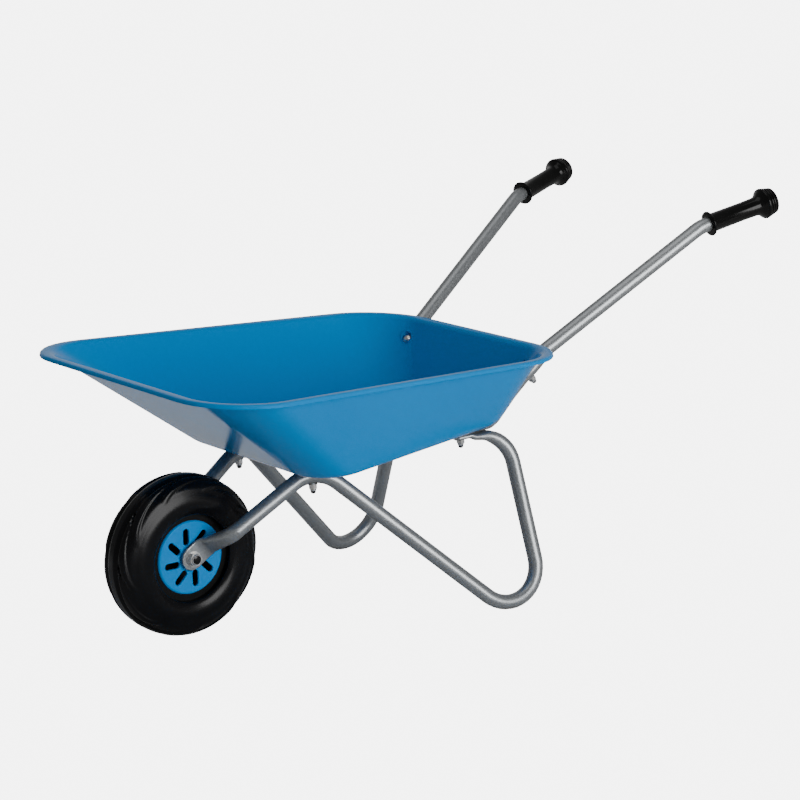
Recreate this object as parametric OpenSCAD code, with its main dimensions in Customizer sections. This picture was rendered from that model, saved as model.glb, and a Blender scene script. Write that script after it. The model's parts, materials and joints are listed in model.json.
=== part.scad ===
// Wheelbarrow for a child: a pressed steel tray on two bent leg tubes and
// two handle tubes, with one hollow-tyred wheel that turns on a bolt axle.
// Millimetres. +X points to the wheel, +Y to the left, +Z up. The origin is
// on the ground, under the middle of the overall length.

/* [Wheel] */
// Outer diameter of the tyre
tyre_d = 170; // [150:1:190]
// Width of the tyre across its sidewalls
tyre_w = 52; // [44:1:58]
// Diameter of the wheel core that the tyre sits on
core_d = 92; // [84:1:100]
// Diameter of each hub cap
cap_d = 78; // [70:1:80]
// Distance between the outer faces of the two hub caps
cap_span = 36; // [33:0.5:37]
// Number of slots in a hub cap
slot_count = 8; // [5:1:10]
// Diameter of the axle bolt's shank
axle_d = 8; // [6:0.5:10]
// Running clearance between axle and bush, on the radius
axle_gap = 0.05; // [0.03:0.01:0.09]
// Clearance between a bush flange and the washer beside it
side_gap = 0.1; // [0.05:0.05:0.3]

/* [Tray] */
// Length of the tray over its rim
rim_len = 478; // [420:1:560]
// Width over the rim at the front
rim_w_front = 404; // [340:1:460]
// Width over the rim at the rear
rim_w_rear = 342; // [300:1:400]
// Height of the rim at the front
rim_z_front = 281.5; // [255:0.5:320]
// Height of the rim at the rear
rim_z_rear = 273; // [255:0.5:320]
// How far the rim reaches in front of the axle
rim_nose = 79; // [50:1:84]
// Corner radius of the rim at the front
rim_r_front = 76; // [50:1:90]
// Corner radius of the rim at the rear
rim_r_rear = 83; // [50:1:95]
// Width of the turned-out flange
flange_w = 12; // [8:0.5:16]
// Height of the lip turned down from the flange
lip_h = 4; // [3:0.5:8]
// Length of the floor between the foot of the front and the rear wall
floor_len = 269; // [230:1:290]
// Width of the floor at the front
floor_w_front = 262; // [220:1:290]
// Width of the floor at the rear
floor_w_rear = 201; // [190:1:230]
// Distance from the axle back to the front edge of the floor
floor_back = 91; // [80:1:100]
// Height of the floor's underside at its front edge
floor_z = 168.5; // [160:0.5:185]
// Rise of the floor from front to rear, in degrees
floor_rise = 4.8; // [0:0.1:8]
// Corner radius of the floor
floor_r = 41; // [28:1:50]
// Size of the rounding between floor and walls
floor_fillet = 14; // [8:1:20]
// Sheet thickness
sheet_t = 1.2; // [0.8:0.1:2]

/* [Tubes] */
// Outer diameter of the frame tube
tube_d = 16; // [14:0.5:20]
// Wall thickness of the frame tube
tube_t = 1.5; // [1:0.1:2.5]
// Centreline radius of the bends of a leg tube
leg_bend = 40; // [30:1:50]
// Half the distance between the feet, measured at the bend corners
foot_y = 172; // [140:1:190]
// Distance from the axle back to the corner of the foot bend
foot_back = 365; // [330:1:400]
// Distance from the wheel's middle to the middle of a fork tab
tab_y = 21; // [20.5:0.1:26]
// Half height of a fork tab
tab_half = 13; // [11:0.5:15]

/* [Handles] */
// Height of the handle bend at the grip
hand_z = 389; // [360:1:430]
// Half the distance between the handles at that bend
hand_y = 154.5; // [130:0.5:180]
// Distance from the axle back to that bend
hand_back = 586; // [540:1:640]
// Rise of the grips above the horizontal, in degrees
grip_rise = 14.4; // [0:0.1:25]
// Length of a grip from its flange to its end
grip_len = 86; // [70:1:110]
// Diameter of a grip's sleeve
grip_d = 21; // [19:0.5:26]
// Diameter of a grip's flange
grip_flange_d = 28; // [26:1:34]
// Diameter of the knob at a grip's end
knob_d = 34.5; // [28:0.5:38]

/* [Fasteners] */
// Thread diameter of the tray bolts
bolt_d = 5; // [4:0.5:6]
// Clearance of a bolt hole on the diameter
hole_gap = 0.4; // [0.2:0.1:0.8]
// Distance from the axle back to the front floor bolts
front_bolt_back = 118; // [112:1:130]
// Half the distance between the front floor bolts
front_bolt_y = 67.5; // [60:0.5:80]
// Distance from the axle back to the rear floor bolts
rear_bolt_back = 304; // [280:1:310]
// Half the distance between the rear floor bolts
rear_bolt_y = 82.5; // [75:0.5:88]
// Height of the rear wall bolts on the wall's outer face
wall_bolt_z = 250.5; // [240:0.5:258]
// Lean of the handle tube where the wall bolt passes, below the horizontal
wall_lean = 42; // [36:1:48]

/* [Hidden] */

blue = [0.02, 0.47, 0.73];
grey = [0.55, 0.57, 0.6];
black = [0.05, 0.05, 0.055];
zinc = [0.75, 0.76, 0.78];

// Frame tube: half thicknesses and the number of sides of its section
tube_r = tube_d / 2;
sides = 20;
flat_a = tube_t + 0.1;         // half thickness of a fully flattened end
foot_a = 2.3;                  // half thickness of the leg tube's rear end
wall_a = 6.5;                  // half thickness where the wall bolt passes

// Fasteners, all taken from the bolt sizes
head_r = bolt_d * 0.95;
head_h = bolt_d * 0.55;
washer_r = bolt_d;
washer_t = 1;
nut_af = bolt_d * 1.6;
nut_h = bolt_d * 0.9;
collar_h = bolt_d * 0.45;
end_cap_h = bolt_d * 0.7;
hole_d = bolt_d + hole_gap;
seat_r = washer_r + 1.3;       // dimple pressed out of the wall for a bolt's head
seat_out = 2.5;                // how far that dimple stands out to the tube
head_seat = 0.15;              // depth of the flat pressed in the floor under a bolt's head
press_r = washer_r + 0.6;      // radius of a flat pressed for a washer
rest_gap = 0.05;               // clearance where a flattened tube lies on its neighbour

// Wheel and axle stack, outward from the wheel's middle
tyre_r = tyre_d / 2;
axle_z = tyre_r;
axle_r = axle_d / 2;
tab_in = tab_y - flat_a;
tab_out = tab_y + flat_a;
axle_washer_t = 1;
bush_face = tab_in - axle_washer_t - side_gap;
axle_nut_af = axle_d * 1.625;
axle_nut_h = 4.8;
axle_collar_h = 1.4;
axle_cap_h = 1.2;
axle_head_h = 5;
bush_r = axle_r + 3;
bush_len = 13;
bush_flange_r = bush_r + 3;

function unit(v) = v / norm(v);
function mix(a, b, t) = a + (b - a) * t;

// ---- Tray: rings of points, all built the same way ----
arc_n = 11;
rim_x1 = rim_nose;
rim_x0 = rim_nose - rim_len;
floor_x1 = -floor_back;
floor_x0 = -floor_back - floor_len;
floor_slope = tan(floor_rise);
function floor_under(x) = floor_z + (floor_x1 - x) * floor_slope;
floor_up = unit([floor_slope, 0, 1]);
rear_floor_z = floor_under(floor_x0);

// Left half of a rounded trapezoid from front to rear, in plan
function half_ring(x1, x0, w1, w0, r1, r0, inset) =
    let (k = (w1 - w0) / (x1 - x0), sec = sqrt(1 + k * k), tilt = atan(k),
         side = function(x) w1 - k * (x1 - x) - inset * sec,
         cx1 = x1 - inset - r1, cx0 = x0 + inset + r0)
    concat(
        [for (i = [0:arc_n - 1]) let (a = (90 + tilt) * i / (arc_n - 1))
            [cx1 + r1 * cos(a), side(cx1) - r1 * sec + r1 * sin(a)]],
        [for (i = [0:arc_n - 1]) let (a = mix(90 + tilt, 180, i / (arc_n - 1)))
            [cx0 + r0 * cos(a), side(cx0) - r0 * sec + r0 * sin(a)]]);

function whole_ring(half) =
    concat(half, [for (i = [len(half) - 1:-1:0]) [half[i][0], -half[i][1]]]);

function rim_z(x) = mix(rim_z_rear, rim_z_front, (x - rim_x0) / rim_len);
function at_rim(ring, drop) = [for (p = ring) [p[0], p[1], rim_z(p[0]) - drop]];
function at_floor(ring) = [for (p = ring) [p[0], p[1], floor_under(p[0])]];

rim_edge = whole_ring(half_ring(rim_x1, rim_x0, rim_w_front / 2, rim_w_rear / 2,
    rim_r_front - sheet_t, rim_r_rear - sheet_t, sheet_t));
wall_top = whole_ring(half_ring(rim_x1, rim_x0, rim_w_front / 2, rim_w_rear / 2,
    rim_r_front - flange_w, rim_r_rear - flange_w, flange_w));
floor_edge = whole_ring(half_ring(floor_x1, floor_x0, floor_w_front / 2, floor_w_rear / 2,
    floor_r, floor_r, 0));
floor_flat = whole_ring(half_ring(floor_x1, floor_x0, floor_w_front / 2, floor_w_rear / 2,
    floor_r - floor_fillet * 0.7, floor_r - floor_fillet * 0.7, floor_fillet));

// A rounded turn between three corner points, as a curve through a fraction t
function turn(a, b, c, t) = a * (1 - t) * (1 - t) + b * 2 * t * (1 - t) + c * t * t;
fillet_steps = 5;
rim_steps = 3;
rim_turn = 5;                  // size of the turn from wall to flange
lip_turn = 2;                  // size of the turn from flange to lip

function toward(a, b, d) = a + unit(b - a) * d;
floor_pts = at_floor(floor_flat);
corner_pts = at_floor(floor_edge);
top_pts = at_rim(wall_top, sheet_t);
edge_pts = at_rim(rim_edge, sheet_t);
lip_pts = at_rim(rim_edge, lip_h);
n_ring = len(rim_edge);

// Outer skin, ring by ring from the floor to the bottom of the lip
skin = concat(
    [for (k = [0:fillet_steps]) [for (i = [0:n_ring - 1])
        turn(floor_pts[i], corner_pts[i],
             toward(corner_pts[i], top_pts[i], floor_fillet), k / fillet_steps)]],
    [for (k = [0:rim_steps]) [for (i = [0:n_ring - 1])
        turn(toward(top_pts[i], corner_pts[i], rim_turn), top_pts[i],
             toward(top_pts[i], edge_pts[i], rim_turn), k / rim_steps)]],
    [for (k = [0:rim_steps]) [for (i = [0:n_ring - 1])
        turn(toward(edge_pts[i], top_pts[i], lip_turn), edge_pts[i],
             toward(edge_pts[i], lip_pts[i], lip_turn), k / rim_steps)]],
    [lip_pts]);
skin_n = len(skin);

// Direction from the outer skin to the inner one, at ring k and point i
function skin_in(k, i) = k == 0 ? floor_up :
    let (up = skin[min(k + 1, skin_n - 1)][i] - skin[k - 1][i],
         round = skin[k][(i + 1) % n_ring] - skin[k][(i + n_ring - 1) % n_ring])
    unit(cross(round, up));
inner_skin = [for (k = [0:skin_n - 1]) [for (i = [0:n_ring - 1])
    skin[k][i] + skin_in(k, i) * sheet_t * (k == 0 ? 1 : -1)]];

function ring_faces(base, rings, n) = [for (k = [0:rings - 2]) for (i = [0:n - 1])
    let (j = (i + 1) % n, a = base + k * n) each
    [[a + i, a + n + i, a + n + j], [a + i, a + n + j, a + j]]];
function flipped(faces) = [for (f = faces) [for (i = [len(f) - 1:-1:0]) f[i]]];

// ---- Bolt places: [point on the tray's outer face, tilt of the bolt's axis] ----
handle_splay = (hand_y - rear_bolt_y) / (hand_back - rear_bolt_back);
function handle_y(x) = hand_y + (-hand_back - x) * handle_splay;

// Outer face of the rear wall, rounded corner included, at one height
function wall_share(z) = (z - rear_floor_z) / (rim_z_rear - rear_floor_z);
function wall_r(z) = mix(floor_r, rim_r_rear - flange_w, wall_share(z));
function wall_over(y, z) =
    let (hw = mix(floor_w_rear, rim_w_rear - 2 * flange_w, wall_share(z)) / 2)
    max(0, y - hw + wall_r(z)) / wall_r(z);
function wall_x(y, z) = mix(floor_x0, rim_x0 + flange_w, wall_share(z))
    + wall_r(z) * (1 - sqrt(1 - pow(wall_over(y, z), 2)));
wall_bolt_x = wall_x(handle_y(rim_x0 + 2 * flange_w), wall_bolt_z);
wall_bolt_y = handle_y(wall_bolt_x);

// Wall bolt: the point on the wall, the wall's own slope there and the bolt's line
wall_dir = [sin(wall_lean), 0, cos(wall_lean)];
wall_point = [wall_bolt_x, wall_bolt_y, wall_bolt_z];
wall_centre = wall_point - wall_dir * (seat_out + wall_a);
wall_round = asin(wall_over(wall_bolt_y, wall_bolt_z));
wall_out = unit([-cos(wall_round), sin(wall_round),
    (rim_x0 + flange_w - floor_x0) / (rim_z_rear - rear_floor_z)]);

front_point = [-front_bolt_back, front_bolt_y, floor_under(-front_bolt_back)];
rear_point = [-rear_bolt_back, rear_bolt_y, floor_under(-rear_bolt_back)];

// Each bolt: where, tilt, sheet above the outer face, stack below it
front_bolt = [front_point, floor_rise, sheet_t - head_seat, tube_d];
rear_bolt = [rear_point, floor_rise, sheet_t - head_seat, 2 * (flat_a + foot_a + rest_gap)];
wall_bolt = [wall_point, wall_lean, sheet_t - seat_out, seat_out + 2 * wall_a];
bolts = [front_bolt, rear_bolt, wall_bolt];

// Places children at both bolts of a pair, with the tray's outer face at z = 0
module at_pair(bolt) {
    for (side = [1, -1])
        translate([bolt[0][0], side * bolt[0][1], bolt[0][2]])
            rotate([0, bolt[1], 0])
                children();
}

// ---- Tubes: a section swept along straight runs and bends ----
// A stop is [corner point, bend radius, section before, section after];
// a section is [half size up, half size across].
round_tube = [tube_r, tube_r];
function flattened(a) = [a, a + PI / 2 * (tube_r - a)];
function bend_points(a, b, c, r, s0, s1) =
    let (u = unit(b - a), v = unit(c - b), angle = acos(min(1, u * v)))
    (r == 0 || angle < 1) ? [[b, s1]] :
    let (n = max(2, ceil(angle / 9)), back = r * tan(angle / 2), start = b - u * back,
         centre = start + unit(v - u * (u * v)) * r)
    [for (k = [0:n]) let (t = angle * k / n)
        [centre + (start - centre) * cos(t) + u * (r * sin(t)), mix(s0, s1, pow(k / n, 3))]];
function route(stops) = let (last = len(stops) - 1) concat(
    [[stops[0][0], stops[0][3]]],
    [for (i = [1:last - 1]) each bend_points(stops[i - 1][0], stops[i][0], stops[i + 1][0],
        stops[i][1], stops[i][2], stops[i][3])],
    [[stops[last][0], stops[last][2]]]);

// One ring of points: a circle, or two half circles joined by flats
function ring_at(p, t, section, shrink) =
    let (across = unit([0, 1, 0] - t * t[1]), up = cross(across, t),
         hu = section[0] - shrink, ha = section[1] - shrink, r = min(hu, ha),
         k = r / cos(180 / sides))
    [for (i = [0:sides - 1]) let (a = (i + 0.5) * 360 / sides, cu = cos(a), ca = sin(a))
        p + up * (k * cu + sign(cu) * (hu - r)) + across * (k * ca + sign(ca) * (ha - r))];

module sweep(stops, shrink = 0) {
    way = route(stops);
    n = len(way);
    dirs = [for (i = [0:n - 1]) unit(
        (i < n - 1 ? unit(way[i + 1][0] - way[i][0]) : [0, 0, 0]) +
        (i > 0 ? unit(way[i][0] - way[i - 1][0]) : [0, 0, 0]))];
    rings = [for (i = [0:n - 1]) ring_at(way[i][0], dirs[i], way[i][1], shrink)];
    polyhedron(
        points = [for (r = rings) each r],
        faces = concat(
            [[for (i = [0:sides - 1]) sides - 1 - i]],
            ring_faces(0, n, sides),
            [[for (i = [0:sides - 1]) (n - 1) * sides + i]]),
        convexity = 6);
}

// Leg tube, from its tab at the axle to its end under the rear floor bolt
fork_foot = [-31, 48.7, 110.8];     // where the fork turns in to its tab
tab_run = axle_d + 9;               // tab length behind the axle, past its washer
tab_bend = 17.5;
leg_end = 9;                        // flattened end past the bolt's middle
top_bend = 36;
leg_top_drop = 12.5;                // tube centre below the floor behind the bolt
leg_press = [[14, 0.4, 3.4], [9, 0, foot_a]];  // distance, share of drop, half thickness
axle_tab = [0, tab_y, axle_z];

// Corner heights that make the arch touch the floor and the foot the ground
function bend_reach(u, v, up) = let (m = unit(cross(u, v))) sqrt(1 - pow(m * up, 2));
function bend_centre(u, v, r) = unit(v - u) * (r / sqrt((1 + u * v) / 2));
arch_xy = [-124, 66];
foot_xy = [-foot_back, foot_y];
top_corner = [-359, 95, floor_under(-359) - leg_top_drop];
function arch_pt(z) = [arch_xy[0], arch_xy[1], z];
function foot_pt(z) = [foot_xy[0], foot_xy[1], z];
function next_arch(arch, foot) = let (u = unit(arch - fork_foot), v = unit(foot - arch),
        c = bend_centre(u, v, leg_bend), reach = leg_bend * bend_reach(u, v, floor_up))
    arch_pt(floor_under(arch_xy[0]) - (c * floor_up + reach + tube_r) / floor_up[2]);
function next_foot(arch, foot) = let (u = unit(foot - arch), v = unit(top_corner - foot),
        c = bend_centre(u, v, leg_bend), reach = leg_bend * bend_reach(u, v, [0, 0, 1]))
    foot_pt(tube_r + reach - c[2]);
function settle(pair, n) = n == 0 ? pair :
    settle([next_arch(pair[0], pair[1]), next_foot(pair[0], pair[1])], n - 1);
corners = settle([arch_pt(floor_z), foot_pt(-foot_y / 4)], 6);
arch = corners[0];
foot = corners[1];
fork_dir = unit(arch - fork_foot);
tab_dir = unit([fork_dir[0], 0, fork_dir[2]]);
tab_tip = axle_tab - tab_dir * tab_half;
tab_section = [tab_half, flat_a];
leg_seat = rear_point - floor_up * (2 * flat_a + foot_a + 2 * rest_gap);
leg_run = unit([rear_point[0] - top_corner[0], rear_point[1] - top_corner[1],
    -(rear_point[0] - top_corner[0]) * floor_slope]);
leg_flat = flattened(foot_a);

leg_stops = concat(
    [for (d = [0.6, 3, 7]) let (h = sqrt(tab_half * tab_half - pow(tab_half - d, 2)),
            s = [h, flat_a])
        [tab_tip + tab_dir * d, 0, s, s]],
    [[axle_tab, 0, tab_section, tab_section],
     [axle_tab + tab_dir * tab_run, tab_bend, tab_section, [10.5, 4]],
     [fork_foot, tab_bend, [9, 6.5], round_tube],
     [arch, leg_bend, round_tube, round_tube],
     [foot, leg_bend, round_tube, round_tube],
     [top_corner, top_bend, round_tube, flattened(4)]],
    [for (p = leg_press) let (s = flattened(p[2]))
        [leg_seat - leg_run * p[0] - floor_up * (p[1] * (leg_top_drop - 2 * flat_a - foot_a)), 0, s, s]],
    [[leg_seat + leg_run * (leg_end - 3), 0, leg_flat, leg_flat],
     [leg_seat + leg_run * leg_end, 0, [foot_a, leg_flat[1] - 3], [foot_a, leg_flat[1] - 3]]]);
leg_bore_stops = concat(
    [[toward(fork_foot, arch, tab_bend), 0, round_tube, round_tube]],
    [for (i = [6:7]) leg_stops[i]],
    [[toward(top_corner, foot, top_bend), 0, round_tube, round_tube]]);

// Handle tube, from its end inside the grip to its end over the leg tube's
grip_splay = 12.1;
grip_dir = [-cos(grip_rise) * cos(grip_splay), cos(grip_rise) * sin(grip_splay),
    sin(grip_rise)];
grip_start = 10.5;                  // from the bend's corner to the grip's flange
grip_floor = 9;                     // closed thickness at the grip's end
hand_bend = 40;
under_bend = 14;
hand_corner = [-hand_back, hand_y, hand_z];
hand_end = hand_corner + grip_dir * (grip_start + grip_len - grip_floor - rest_gap);
function on_plane(x, z) = [x, handle_y(x), z];
under_drop = 4.4;                   // tube centre below the floor at the corner
under_x = floor_x0 + 9;
under_corner = [under_x, rear_bolt_y - 6, floor_under(under_x) - under_drop];
hand_seat = rear_point - floor_up * (flat_a + rest_gap);
hand_seat_run = unit([rear_point[0] - under_corner[0], rear_point[1] - under_corner[1],
    -(rear_point[0] - under_corner[0]) * floor_slope]);
pressed = flattened(wall_a);
press_half = seat_r + sheet_t + 0.5;  // half length of the flat that the wall bolt clamps
press_dir = unit([cos(wall_lean), -handle_splay * cos(wall_lean), -sin(wall_lean)]);
press_top = wall_centre - press_dir * press_half;
press_foot = wall_centre + press_dir * press_half;
rim_gap = 4;                        // round tube ends this far behind the rim
rim_drop = 6;                       // and this far below its top
rim_cross = on_plane(rim_x0 - rim_gap, rim_z_rear - rim_drop);
hug_gap = 0.3;                      // clearance of the run down the rear wall
slim = [3.6, 7.6];
hand_flat = flattened(flat_a);
hand_tip = [flat_a, hand_flat[1] - 3];
hand_stops = [
    [hand_end, 0, round_tube, round_tube],
    [hand_corner, hand_bend, round_tube, round_tube],
    [rim_cross, 0, round_tube, round_tube],
    [press_top, 0, pressed, pressed],
    [press_foot, 0, pressed, pressed],
    [mix(press_foot, under_corner, 0.35), 0, slim, slim],
    [under_corner, under_bend, slim, [2.4, 10]],
    [hand_seat - hand_seat_run * 14, 0, hand_flat, hand_flat],
    [hand_seat + hand_seat_run * (leg_end - 1), 0, hand_flat, hand_flat],
    [hand_seat + hand_seat_run * (leg_end + 2), 0, hand_tip, hand_tip]];
hand_bore_stops = [
    [hand_end + grip_dir, 0, round_tube, round_tube],
    hand_stops[1],
    [toward(rim_cross, hand_corner, 1), 0, round_tube, round_tube]];

// Everything is drawn from the axle's place, then moved to the middle
knob_end_r = knob_d * 0.41;
rear_end = hand_back - grip_dir[0] * (grip_start + grip_len)
    + knob_end_r * sqrt(1 - grip_dir[0] * grip_dir[0]);
middle = (tyre_r - rear_end) / 2;
module placed() { translate([-middle, 0, 0]) children(); }
module right_side() { mirror([0, 1, 0]) children(); }

// ---- Sub-parts ----
module tray() color(blue) placed() difference() {
    union() {
        polyhedron(
            points = concat([for (r = skin) each r], [for (r = inner_skin) each r]),
            faces = concat(
                [[for (i = [0:n_ring - 1]) i]],
                flipped(ring_faces(0, skin_n, n_ring)),
                ring_faces(skin_n * n_ring, skin_n, n_ring),
                [[for (i = [n_ring - 1:-1:0]) skin_n * n_ring + i]],
                [for (i = [0:n_ring - 1]) let (j = (i + 1) % n_ring,
                        a = (skin_n - 1) * n_ring, b = a + skin_n * n_ring) each
                    [[a + i, b + j, b + i], [a + i, a + j, b + j]]]),
            convexity = 8);
        wall_dimple();
        right_side() wall_dimple();
    }
    at_pair(wall_bolt)
        translate([0, 0, wall_bolt[2]])
            cylinder(h = 4 * seat_r, r = seat_r, $fn = 48);
    for (bolt = [front_bolt, rear_bolt])
        at_pair(bolt)
            translate([0, 0, bolt[2]])
                cylinder(h = sheet_t, r = press_r, $fn = 48);
    for (bolt = bolts)
        at_pair(bolt)
            translate([0, 0, -bolt[3]])
                cylinder(h = 2 * bolt[3], d = hole_d, $fn = 32);
    lip_notch();
    right_side() lip_notch();
}

// Turns +Z to a direction
module facing(v) rotate([0, acos(v[2] / norm(v)), atan2(v[1], v[0])]) children();

// Dimple pressed out of the rear wall, cut off at the middle of the sheet
module wall_dimple() {
    reach = 4 * seat_r;
    intersection() {
        translate(wall_point - wall_dir * seat_out) facing(wall_dir)
            cylinder(h = reach, r = seat_r + sheet_t, $fn = 48);
        translate(wall_point - wall_out * sheet_t / 2) facing(wall_out)
            translate([-reach / 2, -reach / 2, 0]) cube(reach);
    }
}

// Relief in the lip where the handle passes under the rim
module lip_notch() translate(rim_cross) facing(rim_cross - hand_corner)
    translate([0, 0, -4 * rim_gap])
        cylinder(h = 7.5 * rim_gap, r = tube_r + 0.6, $fn = 48);

// Space that the tray's walls and floor enclose, from the outer face in
module tray_block() polyhedron(
    points = concat([for (k = [0:fillet_steps]) each skin[k]], top_pts),
    faces = concat(
        [[for (i = [0:n_ring - 1]) i]],
        flipped(ring_faces(0, fillet_steps + 2, n_ring)),
        [[for (i = [n_ring - 1:-1:0]) (fillet_steps + 1) * n_ring + i]]),
    convexity = 3);

// Hole for a bolt through a tube, with a flat pressed for the washer at its nut
module bolt_way(bolt) at_pair(bolt) {
    translate([0, 0, -bolt[3] - 3]) cylinder(h = bolt[3] + 6, d = hole_d, $fn = 32);
    translate([0, 0, -bolt[3] - 3]) cylinder(h = 3, r = press_r, $fn = 48);
}

module leg_tube() color(grey) difference() {
    sweep(leg_stops);
    sweep(leg_bore_stops, tube_t);
    translate(axle_tab) rotate([90, 0, 0])
        cylinder(h = tab_half, d = axle_d + hole_gap, center = true, $fn = 48);
    sweep(hand_stops, -rest_gap);
    bolt_way(front_bolt);
    bolt_way(rear_bolt);
}
module leg_tube_left() placed() leg_tube();
module leg_tube_right() placed() right_side() leg_tube();

module handle_tube() color(grey) difference() {
    sweep(hand_stops);
    sweep(hand_bore_stops, tube_t);
    translate([-hug_gap, 0, 0]) tray_block();
    at_pair(wall_bolt)
        translate([0, 0, -seat_out])
            cylinder(h = 4 * seat_r, r = seat_r + sheet_t + hug_gap, $fn = 48);
    at_pair(rear_bolt)
        translate([0, 0, -rear_bolt[3]]) cylinder(h = 2 * rear_bolt[3], d = hole_d, $fn = 32);
    bolt_way(wall_bolt);
}
module handle_tube_left() placed() handle_tube();
module handle_tube_right() placed() right_side() handle_tube();

// Grip: flange, waisted sleeve, flared knob and stepped rings, one revolved outline
grip_gap = 0.15;
grip_bore = tube_r / cos(180 / sides) + grip_gap;
grip_ring = 3.4;
grip_lead = 24;                     // length of the flare and knob
flange_t = 3;
module grip() color(black)
    translate(hand_corner + grip_dir * grip_start)
        rotate([0, 0, 180 - grip_splay]) rotate([0, 90 - grip_rise, 0])
            rotate_extrude($fn = 64) difference() {
                polygon(concat(
                    [[0, 0], [grip_flange_d / 2, 0], [grip_flange_d / 2, flange_t],
                     [grip_d / 2, flange_t], [grip_d / 2 - 0.4, grip_len / 2],
                     [grip_d / 2, grip_len - grip_lead],
                     [knob_d / 2 - 1, grip_len - 4 * grip_ring - 2],
                     [knob_d / 2, grip_len - 4 * grip_ring],
                     [knob_d / 2, grip_len - 3 * grip_ring]],
                    [for (i = [0:2]) let (r = knob_d / 2 - 1 - i * 0.8,
                            y = grip_len - (3 - i) * grip_ring) each
                        [[r - 1.4, y], [r - 1.4, y + 0.8], [r, y + 1.2], [r, y + grip_ring]]],
                    [[0, grip_len]]));
                translate([-1, -1]) square([grip_bore + 1, grip_len - grip_floor + 1]);
            }
module grip_left() placed() grip();
module grip_right() placed() right_side() grip();

// Round-headed bolt, from the seat of its head washer down to its rounded end
module tray_bolt(bolt) color(zinc) placed() at_pair(bolt) {
    seat = bolt[2] + washer_t;
    bottom = bolt[3] + washer_t + nut_h + collar_h;
    translate([0, 0, seat])
        rotate_extrude($fn = 40)
            polygon(concat([[0, 0], [head_r, 0]],
                [for (a = [10:10:90]) [head_r * cos(a), head_h * sin(a)]]));
    translate([0, 0, -bottom])
        cylinder(h = bottom + seat + 0.1, d = bolt_d, $fn = 40);
}
module front_floor_bolts() tray_bolt(front_bolt);
module rear_floor_bolts() tray_bolt(rear_bolt);
module rear_wall_bolts() tray_bolt(wall_bolt);

module washer(r, bore, t) difference() {
    cylinder(h = t, r = r, $fn = 48);
    translate([0, 0, -1]) cylinder(h = t + 2, d = bore, $fn = 48);
}
module bolt_head_washers() color(zinc) placed()
    for (bolt = bolts) at_pair(bolt)
        translate([0, 0, bolt[2]]) washer(washer_r, bolt_d, washer_t);
module nut_washers() color(zinc) placed()
    for (bolt = bolts) at_pair(bolt)
        translate([0, 0, -bolt[3] - washer_t]) washer(washer_r, bolt_d, washer_t);

// Locking nut: a hexagon with a tapered collar
module nut(af, h, collar, bore) difference() {
    union() {
        cylinder(h = h, d = af / cos(30), $fn = 6);
        translate([0, 0, h - 0.01])
            cylinder(h = collar + 0.01, r1 = af * 0.46, r2 = af * 0.4, $fn = 48);
    }
    translate([0, 0, -1]) cylinder(h = h + collar + 2, d = bore, $fn = 48);
}
module tray_nut(bolt) color(zinc) placed() at_pair(bolt)
    translate([0, 0, -bolt[3] - washer_t]) mirror([0, 0, 1])
        nut(nut_af, nut_h, collar_h, bolt_d);
module front_floor_nuts() tray_nut(front_bolt);
module rear_floor_nuts() tray_nut(rear_bolt);
module rear_wall_nuts() tray_nut(wall_bolt);

// Domed cap over a bolt's end
module end_cap(r, h) rotate_extrude($fn = 40)
    polygon(concat([[0, 0], [r, 0]], [for (a = [15:15:90]) [r * cos(a), h * (0.25 + 0.75 * sin(a))]]));
module bolt_end_caps() color(black) placed()
    for (bolt = bolts) at_pair(bolt)
        translate([0, 0, -bolt[3] - washer_t - nut_h - collar_h]) mirror([0, 0, 1])
            end_cap(nut_af * 0.36, end_cap_h);

// Turns the +Z axis to +Y, with the wheel's middle at the origin
module on_axle(y) translate([0, y, axle_z]) rotate([-90, 0, 0]) children();

nut_face = tab_out + axle_washer_t;
axle_tip = nut_face + axle_nut_h + axle_collar_h;
module axle_bolt() color(zinc) placed() on_axle(-nut_face) {
    mirror([0, 0, 1]) cylinder(h = axle_head_h, d = axle_nut_af / cos(30), $fn = 6);
    cylinder(h = nut_face + axle_tip, r = axle_r, $fn = 64);
}
module axle_nut() color(zinc) placed() on_axle(nut_face)
    nut(axle_nut_af, axle_nut_h, axle_collar_h, axle_d);
module axle_end_cap() color(black) placed() on_axle(axle_tip)
    end_cap(axle_nut_af * 0.36, axle_cap_h);
module axle_outer_washers() color(zinc) placed() {
    on_axle(tab_out) washer(axle_d, axle_d, axle_washer_t);
    on_axle(-nut_face) washer(axle_d, axle_d, axle_washer_t);
}
module axle_inner_washers() color(zinc) placed() {
    on_axle(tab_in - axle_washer_t) washer(axle_d, axle_d, axle_washer_t);
    on_axle(-tab_in) washer(axle_d, axle_d, axle_washer_t);
}

// Wheel: a hollow tyre with square shoulders on a dished core
tyre_wall = 4;
core_r = core_d / 2;
section_r = (tyre_r + core_r) / 2 - 3;
section_h = tyre_r - section_r;
function tyre_line(inset) = [for (a = [-171:6:189])
    let (c = cos(a), s = sin(a), p = 2 / 2.9)
    [section_r + (section_h - inset) * sign(s) * pow(abs(s), p),
     (tyre_w / 2 - inset) * sign(c) * pow(abs(c), p)]];
module tyre() color(black) placed() on_axle(0) difference() {
    rotate_extrude($fn = 96) difference() {
        polygon(tyre_line(0));
        polygon(tyre_line(tyre_wall));
    }
    cylinder(h = 2 * tyre_w, r = core_r, center = true, $fn = 96);
}

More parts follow.
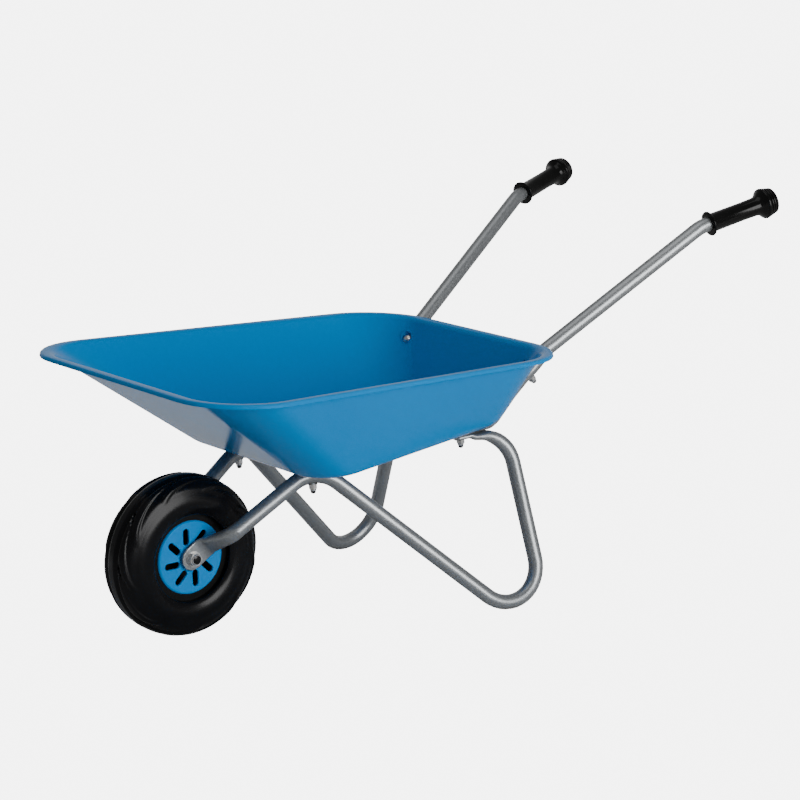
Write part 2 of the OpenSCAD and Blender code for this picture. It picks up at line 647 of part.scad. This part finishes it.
cap_t = 2.5;
cap_half = cap_span / 2;
core_half = cap_half - cap_t;
cap_r = cap_d / 2;
hub_r = bush_r + 4;
web_half = 3;
module wheel_core() color(black) placed() on_axle(0) difference() {
    rotate_extrude($fn = 96)
        polygon([[bush_r, -core_half], [hub_r, -core_half], [hub_r, -web_half],
            [cap_r - 5, -web_half], [cap_r - 3, -core_half], [core_r, -core_half],
            [core_r, core_half], [cap_r - 3, core_half], [cap_r - 5, web_half],
            [hub_r, web_half], [hub_r, core_half], [bush_r, core_half]]);
}

// Hub cap: a shallow dish with a rounded edge and swept slots
slot_w = 7.2;
slot_r0 = 17.9;
slot_r1 = 28.4;
slot_sweep = -6;
slot_first = 17;
slot_in = [slot_r0, 0];
slot_out = slot_r1 * [cos(slot_sweep), sin(slot_sweep)];
slot_turn = atan2(slot_out[1] - slot_in[1], slot_out[0] - slot_in[0]);
function slot_end(middle, from) = [for (a = [from:22.5:from + 180])
    middle + slot_w / 2 * [cos(a), sin(a)]];
module hub_cap() difference() {
    translate([0, 0, core_half]) rotate_extrude($fn = 96)
        polygon(concat(
            [[bush_flange_r + 0.5, 0], [bush_flange_r + 0.5, cap_t - 0.9], [13.6, cap_t - 0.9],
             [14.4, cap_t - 0.2]],
            [for (a = [90:-15:0]) [cap_r - cap_t + cap_t * cos(a), cap_t * sin(a)]]));
    for (i = [0:slot_count - 1]) rotate([0, 0, slot_first + i * 360 / slot_count])
        translate([0, 0, core_half - 1]) linear_extrude(2 * cap_t)
            polygon(concat(slot_end(slot_out, slot_turn - 90), slot_end(slot_in, slot_turn + 90)));
}
module hub_cap_left() color(blue) placed() on_axle(0) hub_cap();
module hub_cap_right() color(blue) placed() on_axle(0) mirror([0, 0, 1]) hub_cap();

// Flanged bush, running on the axle
module bush() rotate_extrude($fn = 64)
    polygon([[axle_r + axle_gap, core_half - bush_len], [bush_r, core_half - bush_len],
        [bush_r, core_half], [bush_flange_r, core_half], [bush_flange_r, bush_face],
        [axle_r + axle_gap, bush_face]]);
module bush_left() color(grey) placed() on_axle(0) bush();
module bush_right() color(grey) placed() on_axle(0) mirror([0, 0, 1]) bush();

tray();
leg_tube_left();
leg_tube_right();
handle_tube_left();
handle_tube_right();
grip_left();
grip_right();
front_floor_bolts();
rear_floor_bolts();
rear_wall_bolts();
bolt_head_washers();
nut_washers();
front_floor_nuts();
rear_floor_nuts();
rear_wall_nuts();
bolt_end_caps();
axle_bolt();
axle_inner_washers();
axle_outer_washers();
axle_nut();
axle_end_cap();
tyre();
wheel_core();
hub_cap_left();
hub_cap_right();
bush_left();
bush_right();
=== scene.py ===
"""Looks of the small wheelbarrow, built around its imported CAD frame. Metres, in the row frame."""

import json
import math

import bmesh
import bpy
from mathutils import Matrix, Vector


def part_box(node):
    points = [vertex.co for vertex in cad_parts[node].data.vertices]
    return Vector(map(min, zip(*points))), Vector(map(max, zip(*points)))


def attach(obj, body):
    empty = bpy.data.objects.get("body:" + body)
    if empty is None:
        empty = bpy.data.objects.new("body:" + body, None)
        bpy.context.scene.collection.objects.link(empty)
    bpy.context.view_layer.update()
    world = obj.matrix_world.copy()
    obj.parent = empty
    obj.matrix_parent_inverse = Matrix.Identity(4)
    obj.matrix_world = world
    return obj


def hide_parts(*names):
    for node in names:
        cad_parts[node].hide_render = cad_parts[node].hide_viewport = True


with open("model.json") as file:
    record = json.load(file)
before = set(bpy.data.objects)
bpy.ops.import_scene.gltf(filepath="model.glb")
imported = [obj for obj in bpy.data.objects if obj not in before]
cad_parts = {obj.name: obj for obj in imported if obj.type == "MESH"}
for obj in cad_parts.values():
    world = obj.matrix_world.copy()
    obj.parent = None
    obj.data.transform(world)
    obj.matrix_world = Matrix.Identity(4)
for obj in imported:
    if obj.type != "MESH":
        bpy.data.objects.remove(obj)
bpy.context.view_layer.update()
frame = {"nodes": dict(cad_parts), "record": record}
nodes = frame["nodes"]
MM = 0.001


# ---- Material helpers ----
def new_material(name):
    """A material, its node tree and its Principled shader."""
    mat = bpy.data.materials.new(name)
    mat.use_nodes = True
    tree = mat.node_tree
    return mat, tree, tree.nodes["Principled BSDF"]


def node(tree, kind, **values):
    """A new node with its named inputs or properties set."""
    made = tree.nodes.new(kind)
    for key, value in values.items():
        if key in made.inputs:
            made.inputs[key].default_value = value
        else:
            setattr(made, key, value)
    return made


def coords(tree):
    return node(tree, "ShaderNodeTexCoord").outputs["Object"]


def noise(tree, scale, detail):
    """Noise over the object's own coordinates."""
    made = node(tree, "ShaderNodeTexNoise", Scale=scale, Detail=detail)
    tree.links.new(coords(tree), made.inputs["Vector"])
    return made.outputs["Fac"]


def cells(tree, scale):
    """A random grey for each small cell of the surface, like flakes in paint."""
    made = node(tree, "ShaderNodeTexVoronoi", Scale=scale)
    tree.links.new(coords(tree), made.inputs["Vector"])
    grey = node(tree, "ShaderNodeSeparateColor")
    tree.links.new(made.outputs["Color"], grey.inputs["Color"])
    return grey.outputs["Red"]


def ramp(tree, source, stops):
    """Colours along a 0 to 1 value; stops are (place, colour)."""
    made = node(tree, "ShaderNodeValToRGB")
    bar = made.color_ramp
    while len(bar.elements) < len(stops):
        bar.elements.new(0.5)
    for element, (place, colour) in zip(bar.elements, stops):
        element.position = place
        element.color = (*colour, 1)
    tree.links.new(source, made.inputs["Fac"])
    return made.outputs["Color"]


def spread(tree, source, low, high):
    """A 0 to 1 value moved to the range low to high."""
    made = node(tree, "ShaderNodeMapRange")
    made.inputs["To Min"].default_value = low
    made.inputs["To Max"].default_value = high
    tree.links.new(source, made.inputs["Value"])
    return made.outputs["Result"]


def blended(tree, a, b, factor):
    """Two colours blended by a socket or a number."""
    made = node(tree, "ShaderNodeMix", data_type="RGBA")
    for socket, value in ((made.inputs[6], a), (made.inputs[7], b), (made.inputs[0], factor)):
        if isinstance(value, bpy.types.NodeSocket):
            tree.links.new(value, socket)
        else:
            socket.default_value = value
    return made.outputs[2]


def bump(tree, shader, height, strength, distance):
    made = node(tree, "ShaderNodeBump", Strength=strength, Distance=distance)
    tree.links.new(height, made.inputs["Height"])
    tree.links.new(made.outputs["Normal"], shader.inputs["Normal"])


def above(tree, z_low, z_high):
    """0 below z_low, 1 above z_high, in metres above the ground."""
    split = node(tree, "ShaderNodeSeparateXYZ")
    tree.links.new(coords(tree), split.inputs["Vector"])
    made = node(tree, "ShaderNodeMapRange")
    made.inputs["From Min"].default_value = z_low
    made.inputs["From Max"].default_value = z_high
    tree.links.new(split.outputs["Z"], made.inputs["Value"])
    return made.outputs["Result"]


# ---- Materials ----
def blue_paint():
    """Glossy enamel on pressed steel: a faint orange peel, and slow shifts of depth."""
    mat, tree, shader = new_material("blue enamel")
    slow = ramp(tree, noise(tree, 6, 4), [(0.3, (0.0, 0.220, 0.570)), (0.7, (0.0, 0.240, 0.610))])
    grain = ramp(tree, noise(tree, 900, 2), [(0.35, (0.0, 0.210, 0.54)), (0.75, (0.0, 0.252, 0.64))])
    tree.links.new(blended(tree, slow, grain, 0.35), shader.inputs["Base Color"])
    tree.links.new(spread(tree, noise(tree, 40, 5), 0.13, 0.20), shader.inputs["Roughness"])
    shader.inputs["Specular IOR Level"].default_value = 0.12
    shader.inputs["Specular Tint"].default_value = (0.03, 0.45, 1.0, 1)
    bump(tree, shader, noise(tree, 330, 2), 0.10, 0.2 * MM)
    return mat


def silver_paint():
    """Metallic lacquer on tube: bright and dark flakes, turning darker grey-brown in the lowest 6 mm
    at the feet.
    """
    mat, tree, shader = new_material("silver lacquer")
    flakes = ramp(
        tree, cells(tree, 1500),
        [(0.0, (0.20, 0.213, 0.22)), (0.5, (0.30, 0.315, 0.325)), (1.0, (0.46, 0.475, 0.485))])
    cloud = ramp(tree, noise(tree, 25, 4), [(0.3, (0.25, 0.264, 0.274)), (0.7, (0.30, 0.314, 0.325))])
    # Darker grey-brown towards the bottom, fading out over the lowest 6 mm above the ground.
    darker_at_feet = blended(
        tree, (0.16, 0.155, 0.15, 1), blended(tree, cloud, flakes, 0.5), above(tree, 0.0, 0.006))
    tree.links.new(darker_at_feet, shader.inputs["Base Color"])
    shader.inputs["Metallic"].default_value = 0.75
    tree.links.new(spread(tree, cells(tree, 1500), 0.30, 0.40), shader.inputs["Roughness"])
    bump(tree, shader, cells(tree, 1500), 0.08, 0.05 * MM)
    return mat


def black_plastic(name, low, high, roughness, grain, gloss=0.12):
    """Moulded black plastic with a fine grain and a little grey bloom."""
    mat, tree, shader = new_material(name)
    tree.links.new(
        ramp(tree, noise(tree, 70, 5), [(0.35, (low,) * 3), (0.7, (high,) * 3)]),
        shader.inputs["Base Color"])
    tree.links.new(
        spread(tree, noise(tree, 160, 4), roughness - 0.05, roughness + 0.08),
        shader.inputs["Roughness"])
    shader.inputs["Specular IOR Level"].default_value = gloss
    bump(tree, shader, noise(tree, grain, 3), 0.10, 0.05 * MM)
    return mat


def tyre_plastic():
    """Blow-moulded black tyre: satin gloss and soft flow marks."""
    mat, tree, shader = new_material("tyre")
    flow = ramp(
        tree, noise(tree, 18, 6),
        [(0.3, (0.0016, 0.0017, 0.0022)), (0.75, (0.0050, 0.0052, 0.0062))])
    tree.links.new(flow, shader.inputs["Base Color"])
    tree.links.new(spread(tree, noise(tree, 60, 5), 0.18, 0.28), shader.inputs["Roughness"])
    shader.inputs["Specular IOR Level"].default_value = 0.17
    bump(tree, shader, noise(tree, 420, 4), 0.2, 0.08 * MM)
    return mat


def blue_plastic():
    """Glossy moulded plastic of the hub caps."""
    mat, tree, shader = new_material("hub cap plastic")
    tree.links.new(
        ramp(tree, noise(tree, 50, 4), [(0.3, (0.0, 0.225, 0.600)), (0.7, (0.0, 0.248, 0.650))]),
        shader.inputs["Base Color"])
    tree.links.new(spread(tree, noise(tree, 90, 3), 0.16, 0.24), shader.inputs["Roughness"])
    shader.inputs["Specular IOR Level"].default_value = 0.15
    shader.inputs["Specular Tint"].default_value = (0.1, 0.5, 1.0, 1)
    bump(tree, shader, noise(tree, 500, 2), 0.08, 0.05 * MM)
    return mat


def zinc():
    """Zinc-plated steel: bright grey with cloudy blue and straw tints."""
    mat, tree, shader = new_material("zinc plate")
    tint = ramp(
        tree, noise(tree, 260, 4),
        [(0.3, (0.50, 0.53, 0.57)), (0.55, (0.62, 0.62, 0.61)), (0.8, (0.68, 0.64, 0.57))])
    tree.links.new(tint, shader.inputs["Base Color"])
    shader.inputs["Metallic"].default_value = 1.0
    tree.links.new(spread(tree, noise(tree, 700, 3), 0.22, 0.42), shader.inputs["Roughness"])
    bump(tree, shader, noise(tree, 1500, 2), 0.1, 0.03 * MM)
    return mat


def pale_plastic():
    """Natural nylon of the bushes."""
    mat, tree, shader = new_material("bush nylon")
    tree.links.new(
        ramp(tree, noise(tree, 120, 3), [(0.3, (0.50, 0.50, 0.47)), (0.7, (0.58, 0.58, 0.55))]),
        shader.inputs["Base Color"])
    shader.inputs["Roughness"].default_value = 0.45
    return mat


MATERIALS = {
    "blue_paint": blue_paint(),
    "silver_paint": silver_paint(),
    "grip_plastic": black_plastic("grip plastic", 0.002, 0.004, 0.14, 900, 0.2),
    "black_cap": black_plastic("cap plastic", 0.002, 0.004, 0.16, 1200, 0.3),
    "tyre": tyre_plastic(),
    "core_plastic": black_plastic("core plastic", 0.002, 0.005, 0.4, 600),
    "blue_plastic": blue_plastic(),
    "bush_plastic": pale_plastic(),
    "zinc_steel": zinc(),
}
slot_of = {part["node"]: part["material_slot"] for part in frame["record"]["subparts"]}


# ---- Geometry ----
def add_piece(name, mesh, body, stands_for):
    """A shown piece that rides on a body in place of CAD nodes, in their material."""
    piece = bpy.data.objects.new(name, mesh)
    bpy.context.scene.collection.objects.link(piece)
    first = stands_for[0]
    mesh.materials.clear()
    mesh.materials.append(MATERIALS[slot_of[first]])
    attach(piece, body)
    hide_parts(*stands_for)
    return piece


def soften(bm, angle):
    """Smooth shading, kept sharp along edges that turn more than the angle."""
    for face in bm.faces:
        face.smooth = True
    for edge in bm.edges:
        edge.smooth = len(edge.link_faces) == 2 and edge.calc_face_angle(0) < math.radians(angle)


def smooth_copy(node_name, body, angle):
    """A CAD node's own shape as one welded, smoothly shaded skin."""
    bm = bmesh.new()
    bm.from_mesh(nodes[node_name].data)
    bmesh.ops.remove_doubles(bm, verts=bm.verts, dist=3e-6)
    soften(bm, angle)
    mesh = bpy.data.meshes.new(node_name + "_skin")
    bm.to_mesh(mesh)
    bm.free()
    piece = add_piece(node_name + "_skin", mesh, body, [node_name])
    piece.modifiers.new("weighted normals", "WEIGHTED_NORMAL").keep_sharp = True


for name in ("tray", "leg_tube_left", "leg_tube_right", "handle_tube_left", "handle_tube_right"):
    smooth_copy(name, "frame", 40)
GRIP_SIDES = 96                # mesh steps round a grip


def grip_outline(length, knob_r):
    """Half section of a grip, given in mm, as (distance from the flange face, radius) in metres."""
    line = [
        (length - 9, 0), (length - 9, 8.2), (0, 8.2),
        (0, 12.8), (0.4, 13.6), (1.3, 14.0), (2.2, 13.7), (2.8, 12.9),
        (3.0, 11.8), (3.6, 10.9), (5.0, 10.45), (length / 2, 10.1), (length - 25, 10.4),
        (length - 22, 10.8), (length - 19.6, 11.8), (length - 17.8, 13.2), (length - 16.2, 14.8)]
    for first, last, drop in ((14.6, 10.3, 0), (9.7, 7.0, 1.0), (6.4, 3.7, 1.8), (3.1, 0.3, 2.6)):
        r = knob_r - drop
        half = (first - last) / 2
        for turn in (-90, -65, -40, -15, 15, 40, 65, 90):
            a = math.radians(turn)
            inset = 1.5 * (1 - math.cos(a) ** 0.7)
            line.append((length - first + half * (1 + math.sin(a)), r - inset))
    line += [(length - 0.1, 10), (length, 6), (length, 0)]
    return [(along * MM, r * MM) for along, r in line]


def grip_mesh(name, seat, back):
    """A grip turned round its own axis: flange, sleeve, flare and a ringed knob."""
    points = [v.co - seat for v in nodes[name].data.vertices]
    along = [point.dot(back) for point in points]
    away = [(point - point.dot(back) * back).length for point in points]
    origin = seat + back * min(along)
    spin = back.to_track_quat("Z", "Y")
    bm = bmesh.new()
    rings = []
    for place, r in grip_outline((max(along) - min(along)) / MM, max(away) / MM):
        count = GRIP_SIDES if r > 0 else 1
        turns = [2 * math.pi * i / count for i in range(count)]
        rings.append([
            bm.verts.new(origin + spin @ Vector((r * math.cos(turn), r * math.sin(turn), place)))
            for turn in turns])
    for a, b in zip(rings, rings[1:]):
        for i in range(GRIP_SIDES):
            corners = [a[i % len(a)], a[(i + 1) % len(a)], b[(i + 1) % len(b)], b[i % len(b)]]
            bm.faces.new(list(dict.fromkeys(corners)))
    bmesh.ops.recalc_face_normals(bm, faces=bm.faces)
    soften(bm, 50)
    mesh = bpy.data.meshes.new(name + "_skin")
    bm.to_mesh(mesh)
    bm.free()
    return mesh


for mount in frame["record"]["mounts"]:
    name = {"left_grip": "grip_left", "right_grip": "grip_right"}.get(mount["name"])
    if name:
        shape = grip_mesh(name, Vector(mount["pos_m"]), -Vector(mount["axis"]).normalized())
        add_piece(name + "_skin", shape, "frame", [name])
for name in ("hub_cap_left", "hub_cap_right"):
    smooth_copy(name, "wheel", 30)

low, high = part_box("tyre")
axle = (low + high) / 2
tyre_r = (high.z - low.z) / 2 - 0.01 * MM
tyre_half = (high.y - low.y) / 2
core_low, core_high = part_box("wheel_core")
core_r = (core_high.z - core_low.z) / 2
section_r = (tyre_r + core_r) / 2 - 3 * MM
section_h = tyre_r - section_r
LUGS = 9                      # tread blocks on each side
GROOVE = 2.9 * MM              # depth of the tread
TREAD_HALF = 19.5 * MM         # half width of the tread band
RIB = 8.5 * MM                 # half width of the plain rib round its middle
ROUND, ACROSS = 520, 120       # mesh steps round the wheel and across the tyre


def ease(low_edge, high_edge, x):
    """0 below the low edge, 1 above the high one, with a smooth step between."""
    t = min(1.0, max(0.0, (x - low_edge) / (high_edge - low_edge)))
    return t * t * (3 - 2 * t)


def tread_depth(turn, y):
    """How deep the tread lies below the tyre's outline, at a turn (0 to 1) and a place across."""
    side = 0.5 if y < 0 else 0.0
    reach = abs(y) / TREAD_HALF
    lug = (turn * LUGS + side + 1.5 * reach) % 1.0
    near = min(lug, 1 - lug)
    cross = (1 - ease(0.03, 0.14, near)) * ease(RIB, RIB + 3 * MM, abs(y))
    groove = 1 - ease(0.8 * MM, 3.4 * MM, abs(abs(y) - RIB))
    edge = TREAD_HALF * (0.84 + 0.22 * math.cos(2 * math.pi * (lug - 0.5)))
    shoulder = ease(edge, edge + 5.5 * MM, abs(y))
    return GROOVE * max((1 - shoulder) * max(cross, groove), 0.75 * shoulder)


def tyre_mesh():
    """Tyre skin: a rounded-square section turned round the axle, with a moulded tread."""
    bm = bmesh.new()
    power = 2 / 2.9
    flare = math.radians(81)
    rings = []
    for i in range(ROUND):
        around = 2 * math.pi * i / ROUND
        ring = []
        for k in range(ACROSS + 1):
            a = math.radians(90) + (k / ACROSS - 0.5) * 2 * (math.radians(90) + flare)
            c, s = math.cos(a), math.sin(a)
            y = tyre_half * math.copysign(abs(c) ** power, c)
            h = section_h * math.copysign(abs(s) ** power, s)
            pull = tread_depth(i / ROUND, y) * ease(-2 * MM, 9 * MM, h)
            out = Vector((c, s)).normalized()
            r = section_r + h - pull * out.y
            y -= pull * out.x
            r = max(r, core_r)
            spot = Vector((r * math.cos(around), y, r * math.sin(around)))
            ring.append(bm.verts.new(axle + spot))
        rings.append(ring)
    for i in range(ROUND):
        a, b = rings[i], rings[(i + 1) % ROUND]
        for k in range(ACROSS):
            bm.faces.new((a[k], a[k + 1], b[k + 1], b[k]))
        bm.faces.new((a[ACROSS], a[0], b[0], b[ACROSS]))
    bmesh.ops.recalc_face_normals(bm, faces=bm.faces)
    soften(bm, 60)
    mesh = bpy.data.meshes.new("tyre_skin")
    bm.to_mesh(mesh)
    bm.free()
    return mesh


add_piece("tyre_skin", tyre_mesh(), "wheel", ["tyre"])

for name, obj in nodes.items():
    obj.data.materials.clear()
    obj.data.materials.append(MATERIALS[slot_of[name]])

# ---- Stage, lights and camera ----
floor_mesh = bpy.data.meshes.new("floor")
floor_mesh.from_pydata([(-9, -9, 0), (9, -9, 0), (9, 9, 0), (-9, 9, 0)], [], [(0, 1, 2, 3)])
floor = bpy.data.objects.new("floor", floor_mesh)
bpy.context.scene.collection.objects.link(floor)
floor_mat, floor_tree, floor_shader = new_material("floor")
floor_shader.inputs["Base Color"].default_value = (0.7, 0.7, 0.7, 1)
floor_shader.inputs["Roughness"].default_value = 0.9
floor_shader.inputs["Specular IOR Level"].default_value = 0.0
SEEN = 6.0                     # brightness of floor and backdrop where they are looked at
FAR_WALL = 0.6                 # brightness of the pale wall that the object has behind it
LIT = 0.25                     # brightness of the backdrop as a light


def toward(tree, direction, low, high):
    """A value that rises from low to high round one direction of the backdrop."""
    turn = node(tree, "ShaderNodeVectorMath", operation="DOT_PRODUCT")
    turn.inputs[1].default_value = Vector(direction).normalized()
    tree.links.new(node(tree, "ShaderNodeTexCoord").outputs["Generated"], turn.inputs[0])
    made = node(tree, "ShaderNodeMapRange", interpolation_type="SMOOTHSTEP")
    made.inputs["From Min"].default_value = 0.62
    made.inputs["From Max"].default_value = 0.90
    made.inputs["To Min"].default_value = low
    made.inputs["To Max"].default_value = high
    tree.links.new(turn.outputs["Value"], made.inputs["Value"])
    return made.outputs["Result"]


glow = node(floor_tree, "ShaderNodeEmission", Strength=SEEN)
choose = node(floor_tree, "ShaderNodeMixShader")
floor_tree.links.new(
    node(floor_tree, "ShaderNodeLightPath").outputs["Is Camera Ray"], choose.inputs[0])
floor_tree.links.new(floor_shader.outputs[0], choose.inputs[1])
floor_tree.links.new(glow.outputs[0], choose.inputs[2])
floor_tree.links.new(choose.outputs[0], floor_tree.nodes["Material Output"].inputs["Surface"])
floor_mesh.materials.append(floor_mat)

world = bpy.data.worlds.new("studio")
world.use_nodes = True
backdrop = world.node_tree.nodes["Background"]
backdrop.inputs["Color"].default_value = (1, 1, 1, 1)
strength = node(world.node_tree, "ShaderNodeMix", data_type="FLOAT")
strength.inputs["B"].default_value = SEEN
world.node_tree.links.new(
    node(world.node_tree, "ShaderNodeLightPath").outputs["Is Camera Ray"], strength.inputs["Factor"])
world.node_tree.links.new(
    toward(world.node_tree, (-0.61, -0.78, 0.12), LIT, FAR_WALL), strength.inputs["A"])
world.node_tree.links.new(strength.outputs["Result"], backdrop.inputs["Strength"])
bpy.context.scene.world = world


def softbox(name, place, aim, size, power):
    """A square area light that faces a point."""
    data = bpy.data.lights.new(name, "AREA")
    data.shape = "SQUARE"
    data.size = size
    data.energy = power
    lamp = bpy.data.objects.new(name, data)
    bpy.context.scene.collection.objects.link(lamp)
    lamp.location = place
    lamp.rotation_mode = "QUATERNION"
    lamp.rotation_quaternion = (Vector(aim) - Vector(place)).to_track_quat("-Z", "Y")
    return lamp


softbox("key", (-0.3, 2.9, 0.8), (0, 0, 0.2), 1.6, 71)
softbox("top", (0.3, 0.2, 2.6), (0, 0, 0.2), 1.8, 12)
bounce = softbox("bounce", (0.25, -0.55, 0.02), (0.25, -0.55, 1.0), 0.7, 0.38)
bounce.visible_camera = False

camera_data = bpy.data.cameras.new("camera")
camera_data.lens = 111.4
camera_data.sensor_width = 36
camera = bpy.data.objects.new("camera", camera_data)
bpy.context.scene.collection.objects.link(camera)
camera.location = (1.63857, 2.0750, 0.7991)
camera.rotation_mode = "QUATERNION"
camera.rotation_quaternion = (
    Vector((0.01137, 0, 0.2080)) - camera.location).to_track_quat("-Z", "Y")
bpy.context.scene.camera = camera
